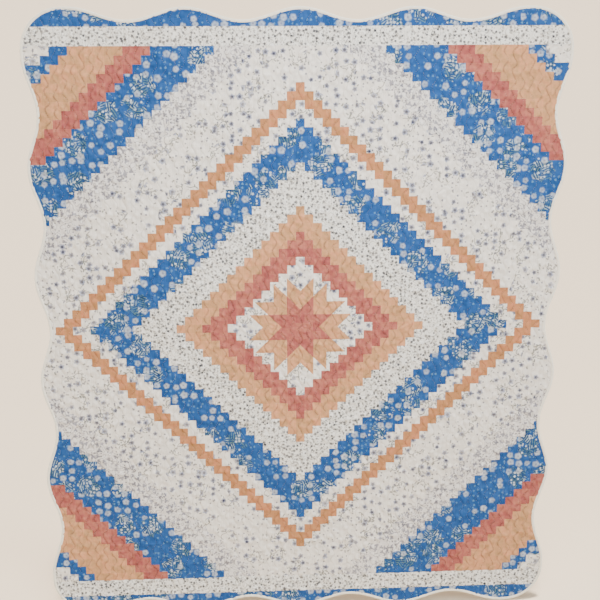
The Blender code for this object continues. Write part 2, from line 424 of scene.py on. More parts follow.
@dataclass(frozen=True)
class BloomPrint(Cotton):
    """Blue cotton with paired white blooms, leafy sprays and dots."""

    bloom: tuple[float, float, float] = (204, 213, 220)
    heart: tuple[float, float, float] = (132, 128, 150)
    leaf: tuple[float, float, float] = (156, 178, 186)
    moss: tuple[float, float, float] = (88, 122, 124)
    shadow: tuple[float, float, float] = (22, 50, 84)
    dot: tuple[float, float, float] = (86, 132, 176)
    dots: Motifs = Motifs(0.0165, 0.0046, 0.42, 3, shift=(0.31, 0.17), soft=0.002)
    sprays: Motifs = Motifs(0.112, 0.060, 0.70, spread=0.75, shift=(0.05, 0.02), soft=0.004)
    blooms: Motifs = Motifs(0.034, 0.0122, 0.46, spread=0.65, soft=0.007, notch=0.07)
    leaves: Motifs = Motifs(0.023, 0.0, 0.85, shift=(0.11, 0.07))
    buds: Motifs = Motifs(0.0125, 0.0050, 0.36, spread=0.8, shift=(0.11, 0.07))

    def printed(self, graph: Graph, colour: bpy.types.NodeSocket,
                at: Spot) -> bpy.types.NodeSocket:
        """Dots and blooms on a blue ground, with a leafy spray in some places."""
        colour = graph.strewn(at, self.dots, colour, self.dot)
        nearest = graph.scatter(at, self.sprays)
        spray = (nearest.radius + graph.noise(at, 0.022) * 0.036).below(
            self.sprays.radius, self.sprays.soft) * (nearest.chance < self.sprays.share)
        colour = self.leafy(graph, colour, spray, at)
        petals, bloom = graph.flowers(at, self.blooms, self.blooms.share - spray * 0.22)
        colour = graph.mix(petals * 0.85, colour, self.bloom)
        ring = abs(bloom.radius - 0.0062).below(0.0008, 0.001) * petals
        hearts = bloom.radius.below(0.0038, 0.0014) * petals
        colour = graph.mix(ring * 0.35, colour, self.dot)
        return graph.mix(hearts * 0.7, colour, self.heart)

    def leafy(self, graph: Graph, colour: bpy.types.NodeSocket, spray: Value,
              at: Spot) -> bpy.types.NodeSocket:
        """Sprays of narrow leaves that fan out in little groups, with buds between them."""
        group = graph.scatter(at, self.leaves)
        here = spray * (group.chance < self.leaves.share)
        bend = group.radius * group.radius * 900.0
        blades = ((group.angle + group.spin * 6.28).cosine() * group.radius
                  * (2 * math.pi / 0.0085) + bend).sine()
        vein = (0.0 - blades).below(-0.15, 0.6) * graph.noise(at, 0.011).below(0.56, 0.14)
        hue = graph.mix(group.shade > 0.5, graph.plain(self.leaf), self.moss)
        colour = graph.mix(here * (vein * 0.35 + 0.65), colour, self.shadow)
        colour = graph.mix(here * vein, colour, hue)
        return graph.mix(graph.flowers(at, self.buds)[0] * spray, colour, self.bloom)


@dataclass(frozen=True)
class SprigPrint(Cotton):
    """White cotton with small blue flowers on bent stems."""

    flower: tuple[float, float, float] = (50, 56, 82)
    petal: tuple[float, float, float] = (138, 147, 172)
    stem: tuple[float, float, float] = (82, 90, 86)
    dot: tuple[float, float, float] = (92, 96, 112)
    wreaths: Motifs = Motifs(0.094, 0.024, 0.85, spread=0.6, shift=(0.03, 0.05))
    leaves: Motifs = Motifs(0.0135, 0.0062, 0.07, 2, shift=(0.12, 0.21), soft=0.002,
                            notch=0.32)
    flowers: Motifs = Motifs(0.031, 0.0122, 0.32, spread=0.8, soft=0.003)
    dots: Motifs = Motifs(0.0185, 0.0040, 0.34, 3, shift=(0.41, 0.33))

    def printed(self, graph: Graph, colour: bpy.types.NodeSocket,
                at: Spot) -> bpy.types.NodeSocket:
        """Stems bent into loose rings, with flowers, leaves and dots round them."""
        wreath = graph.scatter(at, self.wreaths)
        bend = (wreath.angle * 3 + wreath.spin * 6).sine() * 0.006 + self.wreaths.radius
        ring = abs(wreath.radius - bend)
        open_part = (wreath.angle + wreath.spin * 6.3).cosine() > -0.6
        near_ring = ring.below(0.015, 0.006) * open_part * (wreath.chance
                                                            < self.wreaths.share)
        colour = graph.mix(ring.below(0.0014, 0.0016) * near_ring, colour, self.stem)
        colour = graph.strewn(at, self.leaves, colour, self.stem, 0.85,
                              near_ring * 0.72 + self.leaves.share)
        petals, flower = graph.flowers(at, self.flowers,
                                       near_ring * 0.38 + self.flowers.share)
        colour = graph.mix(petals, colour, self.petal)
        core = flower.radius.below(self.flowers.radius * 0.44, 0.0024) * petals
        colour = graph.mix(core, colour, self.flower)
        return graph.strewn(at, self.dots, colour, self.dot)


@dataclass(frozen=True)
class ScrollPrint(Cotton):
    """White cotton closely covered with greyish leaves and scrolls."""

    leaf: tuple[float, float, float] = (84, 88, 112)
    scroll: tuple[float, float, float] = (78, 80, 94)
    leaves: Motifs = Motifs(0.0210, 0.0094, 0.62, 3, soft=0.002, notch=0.25)
    buds: Motifs = Motifs(0.0125, 0.0034, 0.38, 4, shift=(0.2, 0.1))

    def printed(self, graph: Graph, colour: bpy.types.NodeSocket,
                at: Spot) -> bpy.types.NodeSocket:
        """Winding lines with leaves crowded between them."""
        winding = (graph.noise(at, 0.034, 1.0) * 5.0).fold(1.0)
        colour = graph.mix(winding.below(0.10, 0.08) * 0.7, colour, self.scroll)
        colour = graph.strewn(at, self.leaves, colour, self.leaf, 0.8)
        return graph.strewn(at, self.buds, colour, self.scroll)


@dataclass(frozen=True)
class DotPrint(Cotton):
    """Off-white cotton with small dark dots and a faint scroll."""

    dot: tuple[float, float, float] = (34, 38, 54)
    scroll: tuple[float, float, float] = (118, 120, 118)
    leaves: Motifs = Motifs(0.0135, 0.0048, 0.42, 2, shift=(0.3, 0.4))
    dots: Motifs = Motifs(0.0185, 0.0053, 0.85, 4, spread=0.85)
    specks: Motifs = Motifs(0.0125, 0.0026, 0.45, 3, shift=(0.5, 0.6))

    def printed(self, graph: Graph, colour: bpy.types.NodeSocket,
                at: Spot) -> bpy.types.NodeSocket:
        """A faint winding line and a scatter of dots in two sizes."""
        winding = (graph.noise(at, 0.030, 1.0) * 5.0).fold(1.0)
        colour = graph.mix(winding.below(0.07, 0.06) * 0.9, colour, self.scroll)
        colour = graph.strewn(at, self.leaves, colour, self.scroll, 0.8)
        colour = graph.strewn(at, self.dots, colour, self.dot)
        return graph.strewn(at, self.specks, colour, self.dot, 0.8)


@dataclass(frozen=True)
class BackingCotton(Cotton):
    """Plain backing cotton, on which the quilting thread shows as dashes."""

    thread: tuple[float, float, float] = (244, 240, 230)
    stitch: float = 0.0080

    def printed(self, graph: Graph, colour: bpy.types.NodeSocket,
                at: Spot) -> bpy.types.NodeSocket:
        """The plain colour with a dashed line of thread along each line of quilting."""
        line = Quilted().distance(at).below(0.45 * MM, 0.5 * MM)
        dash = at.up.fold(self.stitch).below(self.stitch * 0.3, 0.6 * MM)
        return graph.mix(line * dash, colour, self.thread)


@dataclass(frozen=True)
class SewingThread(Cotton):
    """Twisted sewing thread."""

    def height(self, graph: Graph, at: Spot) -> Value:
        """Fine slanting ridges, as the thread's plies make."""
        return ((at.across + at.up) * (2 * math.pi / 0.0007)).sine() * (0.04 * MM)


@dataclass(frozen=True)
class StudioFloor(Cotton):
    """The pale matt floor that the quilt stands on."""

    def height(self, graph: Graph, at: Spot) -> Value:
        """A floor that is smooth but for a faint grain."""
        return graph.noise(at, 0.05) * (0.1 * MM)


class Cloth(Enum):
    """The finishes, by the part that each plays in the quilt."""

    WHITE = SprigPrint("sprigged_white_cotton", "white_print", (219, 218, 215),
                       warm=(216, 212, 206), mottle=0.4, uneven=0.12)
    SMALL = DotPrint("dotted_white_cotton", "small_print", (221, 223, 223),
                     warm=(212, 213, 209), mottle=0.4, uneven=0.12)
    CLOSE = ScrollPrint("scrolled_white_cotton", "close_print", (211, 211, 212),
                        warm=(208, 206, 206), mottle=0.4, uneven=0.12)
    ROSE = Cotton("rose_cotton", "rose", (160, 83, 84), warm=(150, 104, 83), mottle=0.7,
                  uneven=0.60, groove_shade=0.46)
    PEACH = Cotton("peach_cotton", "peach", (191, 150, 108), warm=(175, 115, 91),
                   mottle=0.7, uneven=0.56, groove_shade=0.42)
    THIN = Cotton("apricot_cotton", "thin_peach", (177, 130, 87), warm=(166, 105, 80),
                  mottle=0.8, uneven=0.46, groove_shade=0.34)
    BLUE = BloomPrint("bloom_blue_cotton", "blue_print", (30, 72, 134),
                      warm=(44, 86, 146), mottle=0.6, groove_shade=0.18)
    BINDING = Cotton("binding_cotton", "binding", (230, 229, 220), warm=(222, 219, 206),
                     mottle=0.5, patch=0.0, uneven=0.14, groove_shade=0.0)
    BACKING = BackingCotton("backing_cotton", "backing", (228, 218, 198),
                            warm=(220, 208, 186), mottle=0.5, patch=0.0, uneven=0.16,
                            groove_shade=0.40)
    WADDING = Cotton("cotton_wadding", "batting", (236, 234, 226), warm=(228, 224, 212),
                     mottle=0.4, patch=0.0, groove_shade=0.0, roughness=0.97, depth=0.1 * MM)
    THREAD = SewingThread("quilting_thread", "binding", (186, 176, 164),
                          warm=(176, 160, 148), mottle=0.3, patch=0.0, groove_shade=0.0,
                          sheen=0.3)
    FLOOR = StudioFloor("studio_floor", "", (237, 219, 196), warm=(235, 217, 193),
                        mottle=0.3, patch=0.0, uneven=0.03, groove_shade=0.0, sheen=0.0)


class Wardrobe:
    """Makes each material once and hands it out."""

    def __init__(self) -> None:
        """Starts with no material made."""
        self.made: dict[Cloth, bpy.types.Material] = {}

    def material(self, cloth: Cloth) -> bpy.types.Material:
        """The material of a finish."""
        if cloth not in self.made:
            self.made[cloth] = cloth.value.material()
        return self.made[cloth]

    def dress(self, item: bpy.types.Object, cloth: Cloth, nodes: Iterable[str] = ()) -> None:
        """Gives a piece its finish, and makes it ride and stand for its CAD nodes.

        Args:
            item: the finished piece.
            cloth: its finish.
            nodes: the CAD nodes that it stands for.
        """
        item.data.materials.clear()
        item.data.materials.append(self.material(cloth))
        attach(item, BODY)
        for node in nodes:
            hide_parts(node)
        LOG.info("%s: %d faces", item.name, len(item.data.polygons))


# ---------------------------------------------------------------- plan of the quilt


class Corner(Enum):
    """The corners of the quilt, as the signs of across and up."""

    TOP_LEFT = (-1, 1)
    TOP_RIGHT = (1, 1)
    BOTTOM_LEFT = (-1, -1)
    BOTTOM_RIGHT = (1, -1)

    def node(self, band: str) -> str:
        """The name of a band's node in this corner."""
        return f"{band}_{self.name.lower()}"


@dataclass(frozen=True)
class Band:
    """A run of rings of patches in one cloth, from the band inside it to its outer ring."""

    node: str
    outer: int
    cloth: Cloth


def lifted(flat: np.ndarray, level: np.ndarray) -> np.ndarray:
    """Points over places on the quilt's plane, each at its own Y."""
    return np.stack([flat[..., 0], level, flat[..., 1]], axis=-1)


def squares(number: np.ndarray) -> np.ndarray:
    """The faces between neighbouring rows and columns of a grid of point numbers."""
    return np.stack([number[:-1, :-1], number[1:, :-1], number[1:, 1:], number[:-1, 1:]],
                    axis=-1).reshape(-1, 4)


def inset(loop: np.ndarray, distance: float) -> np.ndarray:
    """A closed counter-clockwise loop moved inwards, with mitred corners."""
    arrive = loop - np.roll(loop, 1, axis=0)
    leave = np.roll(loop, -1, axis=0) - loop
    arrive /= np.linalg.norm(arrive, axis=1, keepdims=True)
    leave /= np.linalg.norm(leave, axis=1, keepdims=True)
    first = np.stack([-arrive[:, 1], arrive[:, 0]], axis=1)
    second = np.stack([-leave[:, 1], leave[:, 0]], axis=1)
    mitre = (first + second) / (1 + (first * second).sum(axis=1, keepdims=True))
    return loop + mitre * distance


def between(grid: np.ndarray, low: Sequence[np.ndarray], high: Sequence[np.ndarray],
            shares: Sequence[np.ndarray]) -> np.ndarray:
    """Heights between the crossings of a grid.

    Args:
        grid: the heights at the crossings.
        low: the crossings before each place, by row and by column.
        high: the crossings after it.
        shares: how far it lies from the one to the other.

    Returns:
        The height at each place.
    """
    (a, b), (c, d), (s, t) = low, high, shares
    return ((1 - s) * (1 - t) * grid[a, b] + s * (1 - t) * grid[c, b]
            + (1 - s) * t * grid[a, d] + s * t * grid[c, d])


@dataclass
class QuiltPlan:
    """Sizes and lay-out of the pieced top, with the scalloped outline of the whole."""

    patch: float = 0.03175
    rows_each_way: int = 32
    diamond: float = 0.0699
    side_margin: float = 0.0667
    strip_width: float = 0.0667
    border_depth: float = 0.067
    lobes_across: int = 5
    lobes_down: int = 6
    scallop_depth: float = 0.0444
    lobe_overrun: float = 0.032
    corner_radius: float = 0.149
    steps_per_lobe: int = 64
    corner_steps: int = 40
    coarseness: int = 4                 # of the edge, where depths inside it are measured
    edge_clearance: float = 0.9 * MM    # from the hollows to the last column of patches
    star_field_ring: int = 8
    rings: tuple[Band, ...] = (
        Band("rose_ring", 11, Cloth.ROSE), Band("peach_ring", 14, Cloth.PEACH),
        Band("small_print_ring", 19, Cloth.SMALL), Band("blue_ring", 24, Cloth.BLUE),
        Band("narrow_white_ring", 26, Cloth.WHITE), Band("thin_peach_ring", 28, Cloth.THIN),
        Band("ground", 37, Cloth.WHITE))
    corner_bands: tuple[Band, ...] = (
        Band("close_print_band", 41, Cloth.CLOSE), Band("blue_band", 48, Cloth.BLUE),
        Band("rose_band", 51, Cloth.ROSE), Band("peach_band", 57, Cloth.PEACH),
        Band("narrow_blue_band", 59, Cloth.BLUE), Band("white_corner", 67, Cloth.WHITE))

    def __post_init__(self) -> None:
        """Works out the sizes that follow from the others."""
        self.half_width = (self.rings[-2].outer + 0.5) * self.patch + self.side_margin
        self.patchwork_top = (self.rows_each_way + 0.5) * self.patch
        self.strip_top = self.patchwork_top + self.strip_width
        self.half_height = self.strip_top + self.border_depth
        reach = self.half_width - self.scallop_depth - self.edge_clearance
        self.edge_column = math.floor(reach / self.patch + 0.5)
        self.outline, self.corner_middles = self.make_outline()

    def hollow(self, position: float, tip: float, pitch: float) -> float:
        """How far the edge lies in from the tips of its lobes, at a place along it."""
        turn = 2 * math.pi * (position - tip) / pitch
        return self.scallop_depth / 2 * (1 - math.cos(turn))

    def quarter(self) -> tuple[Loop, int]:
        """The edge from the middle of the right side to the middle of the top."""
        side_pitch = 2 * (self.half_height + self.lobe_overrun) / self.lobes_down
        top_pitch = 2 * (self.half_width + self.lobe_overrun) / self.lobes_across
        side_tip = side_pitch * (self.lobes_down - 1) / 2
        top_tip = top_pitch * (self.lobes_across - 1) / 2
        side_steps = self.steps_per_lobe * (self.lobes_down - 1) // 2
        top_steps = self.steps_per_lobe * (self.lobes_across - 1) // 2
        points = []
        for step in range(side_steps + 1):
            up = side_tip * step / side_steps
            points.append((self.half_width - self.hollow(up, side_tip, side_pitch), up))
        for step in range(self.corner_steps + 1):
            turn = math.pi / 2 * step / self.corner_steps
            points.append((self.half_width - self.corner_radius * (1 - math.cos(turn)),
                           self.half_height - self.corner_radius * (1 - math.sin(turn))))
        for step in range(top_steps, -1, -1):
            across = top_tip * step / top_steps
            points.append((across,
                           self.half_height - self.hollow(across, top_tip, top_pitch)))
        return points, side_steps + 1 + self.corner_steps // 2

    def make_outline(self) -> tuple[np.ndarray, list[int]]:
        """The whole edge, counter-clockwise, and the middle point of each corner."""
        quarter, corner = self.quarter()
        last = len(quarter) - 1
        loop: Loop = []
        middles = []
        for turn, (x_side, z_side) in enumerate(((1, 1), (-1, 1), (-1, -1), (1, -1))):
            ordered = quarter if turn % 2 == 0 else quarter[::-1]
            middles.append(len(loop) + (corner if turn % 2 == 0 else last - corner))
            loop.extend((x * x_side, z * z_side) for x, z in ordered[:-1])
        return np.array(loop), middles

    def depth_inside(self, points: np.ndarray) -> np.ndarray:
        """How far each point lies inside the edge, negative outside it.

        Args:
            points: places on the plane, one in each row.

        Returns:
            The distances in metres.
        """
        coarse = self.outline[::self.coarseness]
        starts, ends = coarse, np.roll(coarse, -1, axis=0)
        run = ends - starts
        square = (run ** 2).sum(axis=1)
        found = np.full(len(points), np.inf)
        crossings = np.zeros(len(points), int)
        for start, end, step, size in zip(starts, ends, run, square):
            away = points - start
            along = np.clip(away @ step / size, 0, 1)
            gap = away - along[:, None] * step
            found = np.minimum(found, (gap ** 2).sum(axis=1))
            spans = (start[1] > points[:, 1]) != (end[1] > points[:, 1])
            if spans.any():
                at = start[0] + (points[:, 1] - start[1]) * step[0] / (step[1] or 1e-12)
                crossings += spans & (points[:, 0] < at)
        return np.sqrt(found) * np.where(crossings % 2 == 1, 1, -1)

    def all_bands(self) -> list[tuple[str, Cloth, float]]:
        """Every piece that follows the patches: its node, cloth and width as it was cut."""
        listed = []
        inner = self.star_field_ring
        for band in self.rings:
            listed.append((band.node, band.cloth, (band.outer - inner) * self.patch))
            inner = band.outer
        for corner in Corner:
            before = inner
            for band in self.corner_bands:
                width = (band.outer - before) * self.patch
                listed.append((corner.node(band.node), band.cloth, width))
                before = band.outer
        for place in ("top", "bottom"):
            listed.append((f"plain_strip_{place}", Cloth.SMALL, self.strip_width))
            listed.append((f"scallop_border_{place}", Cloth.BLUE, self.border_depth))
        return listed

    def node_numbers(self, across: np.ndarray, up: np.ndarray) -> np.ndarray:
        """The number, in all_bands, of the piece at each place; -1 in the star's field."""
        names = [name for name, _, _ in self.all_bands()]
        column = np.rint(across / self.patch).astype(int)
        row = np.rint(up / self.patch).astype(int)
        ring = np.minimum(np.abs(column), self.edge_column) + np.abs(row)
        found = np.full(across.shape, -1)
        inner = self.star_field_ring
        for band in self.rings:
            found[(ring > inner) & (ring <= band.outer)] = names.index(band.node)
            inner = band.outer
        for corner in Corner:
            here = (np.sign(across) == corner.value[0]) & (np.sign(up) == corner.value[1])
            before = inner
            for band in self.corner_bands:
                within = here & (ring > before) & (ring <= band.outer)
                found[within] = names.index(corner.node(band.node))
                before = band.outer
        for place, side in (("top", 1), ("bottom", -1)):
            found[up * side > self.patchwork_top] = names.index(f"plain_strip_{place}")
            found[up * side > self.strip_top] = names.index(f"scallop_border_{place}")
        return found


# ---------------------------------------------------------------- relief


@dataclass
class Relief:
    """How every layer lies: slow waves, and the swelling between the lines of quilting."""

    plan: QuiltPlan
    pattern: Quilted = field(default_factory=Quilted)
    tile: int = 16               # patches along one side of the simulated tile
    overlap: int = 2             # extra patches, over which its two ends are blended
    fineness: int = 6            # steps to a patch
    puff: float = 4.4 * MM       # height of the swelling
    back_puff: float = 2.4 * MM  # and of the backing's
    lines_level: float = 5.4 * MM    # the top's face along its lines of quilting
    edge_level: float = 6.3 * MM     # and under the binding
    edge_run: float = 0.016
    sway: float = 1.6 * MM       # size of each slow wave
    frames: int = 24
    pressure: float = 2.5
    slack: float = 0.07          # share by which the cloth is larger than its place
    limits: tuple[float, float] = (-0.04, 1.15)     # of the tile's heights

    def __post_init__(self) -> None:
        """Makes the tile of swelling."""
        self.heights = self.simulated_tile()

    def wave(self, across: np.ndarray, up: np.ndarray) -> np.ndarray:
        """How far every layer is pushed towards the back by the slow waves."""
        slow = (np.sin(across * 5.1 + 1.3) * np.sin(up * 3.7 + 0.4)
                + 0.6 * np.sin(across * 9.7 + up * 6.1 + 2.0)
                + 0.45 * np.sin(up * 13.0 - across * 4.3 + 0.7))
        return self.sway * slow

    def simulated_tile(self) -> np.ndarray:
        """The swelling of one tile: a sheet stitched along its lines and blown up a little.

        Returns:
            Heights from 0 to about 1, by step across the straightened lines and step up.
        """
        steps = (self.tile + self.overlap) * self.fineness
        grid = np.arange(steps + 1) * self.plan.patch / self.fineness
        straight, up = np.meshgrid(grid, grid, indexing="ij")
        across = self.pattern.swung(straight, up)
        flat = np.stack([across.ravel(), up.ravel()], axis=1)
        points = lifted(flat, np.zeros(len(flat)))
        number = np.arange(across.size).reshape(across.shape)
        sheet = build_mesh("quilting_tile", points, squares(number))
        self.stitch_down(sheet, number)
        scene = bpy.context.scene
        for moment in range(1, self.frames + 1):
            scene.frame_set(moment)
        shown = sheet.evaluated_get(bpy.context.evaluated_depsgraph_get())
        places = np.zeros(len(points) * 3)
        shown.data.vertices.foreach_get("co", places)
        scene.frame_set(1)
        bpy.data.objects.remove(sheet, do_unlink=True)
        heights = -places.reshape(-1, 3)[:, 1].reshape(across.shape)
        LOG.info("tile of quilting: swells %.2f to %.2f mm", heights.min() * 1000,
                 heights.max() * 1000)
        heights = np.clip(heights / np.percentile(heights, 97), *self.limits)
        return self.made_periodic(self.made_periodic(heights).T).T

    def made_periodic(self, heights: np.ndarray) -> np.ndarray:
        """The rows with the last ones blended into the first, so that they repeat."""
        length, blend = self.tile * self.fineness, self.overlap * self.fineness
        share = (np.arange(blend) / blend)[:, None]
        kept = heights[:length].copy()
        kept[:blend] = share * heights[:blend] + (1 - share) * heights[length:length + blend]
        return kept

    def stitch_down(self, sheet: bpy.types.Object, number: np.ndarray) -> None:
        """Pins the sheet along its lines and gives it its cloth settings."""
        stitched = sheet.vertex_groups.new(name="stitched")
        held = np.concatenate([number[::self.fineness].ravel(), number[:, 0], number[:, -1]])
        stitched.add(held.tolist(), 1.0, "REPLACE")
        cloth = sheet.modifiers.new("swelling", "CLOTH")
        for name, setting in {
                "quality": 6, "mass": 0.15, "air_damping": 4, "tension_stiffness": 30,
                "compression_stiffness": 30, "shear_stiffness": 15,
                "bending_stiffness": 0.02, "use_pressure": True,
                "uniform_pressure_force": self.pressure, "shrink_min": -self.slack,
                "vertex_group_mass": "stitched"}.items():
            setattr(cloth.settings, name, setting)
        cloth.settings.effector_weights.gravity = 0
        cloth.point_cache.frame_start = 1
        cloth.point_cache.frame_end = self.frames

    def swelling(self, across: np.ndarray, up: np.ndarray) -> np.ndarray:
        """The tile's height at places on the quilt."""
        step = self.plan.patch / self.fineness
        size = self.tile * self.fineness
        places = [self.pattern.straightened(across, up) / step, up / step]
        floors = [np.floor(place) for place in places]
        low = [floor.astype(int) % size for floor in floors]
        return between(self.heights, low, [(number + 1) % size for number in low],
                       [place - floor for place, floor in zip(places, floors)])

    def face(self, points: np.ndarray, depths: np.ndarray) -> np.ndarray:
        """The Y of the pieced top's face.

        Args:
            points: places on the plane.
            depths: how far each lies inside the edge.

        Returns:
            The Y at each.
        """
        across, up = points[:, 0], points[:, 1]
        depth = np.clip(depths / self.edge_run, 0, 1)
        share = depth * depth * (3 - 2 * depth)
        level = self.edge_level + share * (self.lines_level - self.edge_level
                                           + self.puff * self.swelling(across, up))
        return self.wave(across, up) - level

    def back(self, points: np.ndarray, depths: np.ndarray) -> np.ndarray:
        """The Y of the backing's face, which swells less than the top."""
        across, up = points[:, 0], points[:, 1]
        inside = np.clip(depths / self.edge_run, 0, 1)
        return self.wave(across, up) + self.back_puff * inside * self.swelling(across, up)

    def slow(self, points: np.ndarray, depths: np.ndarray) -> np.ndarray:
        """The slow waves alone, as a surface. It is the same near the edge as elsewhere."""
        return self.wave(points[:, 0], points[:, 1])


# ---------------------------------------------------------------- meshes


def build_mesh(name: str, points: np.ndarray, faces: np.ndarray,
               more: np.ndarray | None = None) -> bpy.types.Object:
    """An object from arrays of points and of faces, all with the same number of corners.

    Args:
        name: the object's name.
        points: one point in each row.
        faces: one face of point numbers in each row.
        more: further faces, with another number of corners.

    Returns:
        The object, linked to the scene.
    """
    groups = [faces] + ([more] if more is not None and len(more) else [])
    corners = np.concatenate([g.ravel() for g in groups]).astype(np.int32)
    sizes = np.concatenate([np.full(len(g), g.shape[1]) for g in groups])
    starts = np.concatenate([[0], np.cumsum(sizes)[:-1]]).astype(np.int32)
    mesh = bpy.data.meshes.new(name)
    mesh.vertices.add(len(points))
    mesh.vertices.foreach_set("co", points.astype(np.float32).ravel())
    mesh.loops.add(len(corners))
    mesh.loops.foreach_set("vertex_index", corners)
    mesh.polygons.add(len(sizes))
    mesh.polygons.foreach_set("loop_start", starts)
    mesh.update(calc_edges=True)
    mesh.validate()
    mesh.shade_smooth()
    item = bpy.data.objects.new(name, mesh)
    bpy.context.scene.collection.objects.link(item)
    return item


@dataclass
class FlatShape:
    """A piece of cloth as cut: places on the plane, and its faces, counter-clockwise."""

    points: np.ndarray
    faces: np.ndarray

    def rim(self) -> np.ndarray:
        """The edges along the outside, each with the cloth on its left."""
        edges = np.concatenate([np.stack([self.faces[:, k],
                                          np.roll(self.faces, -1, axis=1)[:, k]], axis=1)
                                for k in range(self.faces.shape[1])])
        big = len(self.points)
        there = edges[:, 0] * big + edges[:, 1]
        back = edges[:, 1] * big + edges[:, 0]
        return edges[~np.isin(there, back)]

    def area(self) -> float:
        """The area of the cloth."""
        corners = self.points[self.faces]
        x, z = corners[..., 0], corners[..., 1]
        return float(abs((x * np.roll(z, -1, axis=1) - np.roll(x, -1, axis=1) * z).sum()) / 2)

    def closed_sheet(self, name: str, near: np.ndarray, far: np.ndarray) -> bpy.types.Object:
        """A closed sheet between two Y surfaces.

        Args:
            name: the piece's name.
            near: the Y of each point on the -Y side.
            far: the Y of each point on the +Y side.

        Returns:
            The piece, with sharp edges at its rim only.
        """
        count = len(self.points)
        points = np.concatenate([lifted(self.points, near), lifted(self.points, far)])
        rim = self.rim()
        walls = np.stack([rim[:, 0], rim[:, 0] + count, rim[:, 1] + count, rim[:, 1]], axis=1)
        sides = np.concatenate([self.faces, self.faces[:, ::-1] + count])
        item = build_mesh(name, points, sides, walls)
        item.data.set_sharp_from_angle(angle=RIM_ANGLE)
        return item


@dataclass
class Lattice:
    """A fine grid over the quilt whose lines follow the seams between patches."""

    plan: QuiltPlan
    steps: int = 6
    strip_steps: int = 12
    border_steps: int = 11
    hidden: float = 1.6 * MM      # the top stops this far inside the edge, under the binding
    seam_gap: float = 0.15 * MM

    def __post_init__(self) -> None:
        """Works out the lines, and which squares lie within the quilt."""
        plan = self.plan
        columns = plan.edge_column + 2
        self.across = (np.arange((2 * columns + 1) * self.steps + 1) / self.steps
                       - columns - 0.5) * plan.patch
        rows = (np.arange((2 * plan.rows_each_way + 1) * self.steps + 1) / self.steps
                - plan.rows_each_way - 0.5) * plan.patch
        rims = ((plan.patchwork_top, plan.strip_width, self.strip_steps),
                (plan.strip_top, plan.border_depth, self.border_steps))
        edge = np.concatenate([start + np.arange(1, steps + 1) * (width / steps)
                               for start, width, steps in rims])
        self.up = np.concatenate([-edge[::-1], rows, edge])
        grid_a, grid_b = np.meshgrid(self.across, self.up, indexing="ij")
        self.places = np.stack([grid_a, grid_b], axis=-1)
        self.depths = plan.depth_inside(self.places.reshape(-1, 2)).reshape(grid_a.shape)
        inside = self.depths > self.hidden
        self.inside = inside[:-1, :-1] & inside[1:, :-1] & inside[1:, 1:] & inside[:-1, 1:]
        middle_a, middle_b = np.meshgrid((self.across[1:] + self.across[:-1]) / 2,
                                         (self.up[1:] + self.up[:-1]) / 2, indexing="ij")
        self.numbers = np.where(self.inside, plan.node_numbers(middle_a, middle_b), -2)

    def set_heights(self, surface: "Surface") -> None:
        """Works out the Y of a surface at every crossing of the lattice."""
        flat = self.places.reshape(-1, 2)
        self.heights = surface(flat, self.depths.ravel()).reshape(self.depths.shape)

    def height_at(self, points: np.ndarray) -> np.ndarray:
        """The Y of the surface between the crossings, at places on the plane."""
        corners, shares = [], []
        for lines, at in ((self.across, points[:, 0]), (self.up, points[:, 1])):
            low = np.clip(np.searchsorted(lines, at) - 1, 0, len(lines) - 2)
            corners.append(low)
            shares.append((at - lines[low]) / (lines[low + 1] - lines[low]))
        return between(self.heights, corners, [low + 1 for low in corners], shares)

    def shape(self, number: int) -> tuple[FlatShape, np.ndarray, np.ndarray]:
        """One piece of cloth.

        Args:
            number: its number in the plan's list of bands.

        Returns:
            The shape, drawn in by the seam gap, which of its points lie on its rim, and
            the Y of the surface at each.
        """
        filled = self.numbers == number
        padded = np.pad(filled, 1).astype(int)
        left_down, right_down = padded[:-1, :-1], padded[1:, :-1]
        left_up, right_up = padded[:-1, 1:], padded[1:, 1:]
        around = left_down + right_down + left_up + right_up
        used = around > 0
        order = np.full(used.shape, -1)
        order[used] = np.arange(used.sum())
        shift = np.stack([np.sign(right_down + right_up - left_down - left_up),
                          np.sign(left_up + right_up - left_down - right_down)], axis=-1)
        points = (self.places + shift * self.seam_gap)[used]
        return FlatShape(points, squares(order)[filled.ravel()]), (around < 4)[used], self.heights[used]


# ---------------------------------------------------------------- sub-assemblies


@dataclass
class Layer:
    """A sub-assembly: it shares the quilt's plan, its relief and its finishes."""

    plan: QuiltPlan
    relief: Relief
    wardrobe: Wardrobe


@dataclass
class PiecedTop(Layer):
    """The rings, bands, strips and borders of the pieced top."""

    cloth: float = 0.8 * MM
    seam_dip: float = 0.35 * MM

    def lay(self, node: str, cloth: Cloth, width: float, shape: FlatShape,
            on_rim: np.ndarray, face: np.ndarray) -> None:
        """Makes a piece of the top: a closed sheet that dips to its seams.

        Args:
            node: the CAD node that it stands for.
            cloth: its finish.
            width: its width as it was cut.
            shape: the piece as it lies.
            on_rim: which of its points lie along a seam.
            face: the Y of the quilt's face at each point.
        """
        near = face + self.seam_dip * on_rim
        piece = shape.closed_sheet(f"{node}_cloth", near, near + self.cloth)
        self.wardrobe.dress(piece, cloth, [node])
        shape.area() / width

    def build(self, lattice: Lattice) -> None:
        """Makes every piece that follows the patches."""
        for number, (node, cloth, width) in enumerate(self.plan.all_bands()):
            self.lay(node, cloth, width, *lattice.shape(number))


